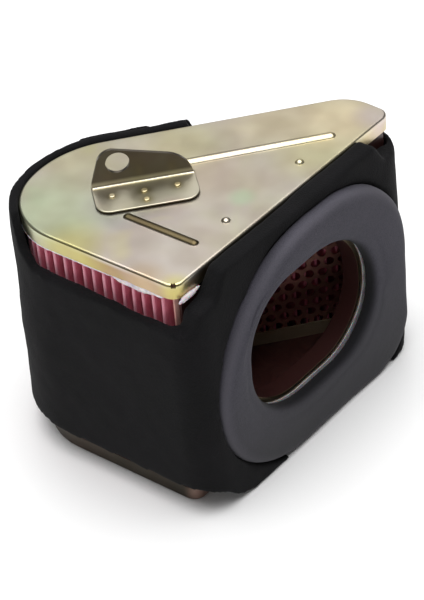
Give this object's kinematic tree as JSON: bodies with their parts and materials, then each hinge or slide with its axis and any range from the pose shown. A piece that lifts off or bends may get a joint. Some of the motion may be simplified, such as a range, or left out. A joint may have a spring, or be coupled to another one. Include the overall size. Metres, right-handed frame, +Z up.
{
  "type": "air filter",
  "caption": "Three-sided pleated paper air filter between steel caps, with a foam sleeve, a soft ring seal round its side outlet and a pull tab on top.",
  "frame": {"origin": "middle of the bounding box in plan, at the underside of the bottom cap", "axes": "+Z up from the bottom cap to the top cap, -Y out of the outlet, +X along the outlet side towards the blunt nose"},
  "size_m": [0.1371, 0.104, 0.1192],
  "materials": {
    "zinc_steel": "yellow zinc plating, satin",
    "tab_steel": "olive zinc plating, semi-gloss",
    "core_steel": "plated perforated sheet",
    "pleat_paper": "crimson oiled filter paper",
    "end_strip": "stained strip",
    "foam": "open-cell foam",
    "seal_foam": "soft sponge rubber",
    "glue": "dried adhesive",
    "potting": "cast sealing compound"
  },
  "bodies": {
    "root": {"bottom_end_cap": "zinc_steel", "top_end_cap": "zinc_steel", "pull_tab": "tab_steel", "tab_spot_welds": "tab_steel", "outlet_plate": "zinc_steel", "outlet_seal": "seal_foam", "seal_glue": "glue", "paper_pleats": "pleat_paper", "left_end_strip": "end_strip", "right_end_strip": "end_strip", "inner_core": "core_steel", "core_seam_strip": "core_steel", "core_base_band": "zinc_steel", "top_potting": "potting", "bottom_potting": "potting", "top_glue_bead": "glue", "bottom_glue_bead": "glue", "corner_glue": "glue", "foam_sleeve": "foam", "foam_lap": "foam", "lap_glue": "glue", "foam_front_pad": "foam"}
  },
  "joints": []
}
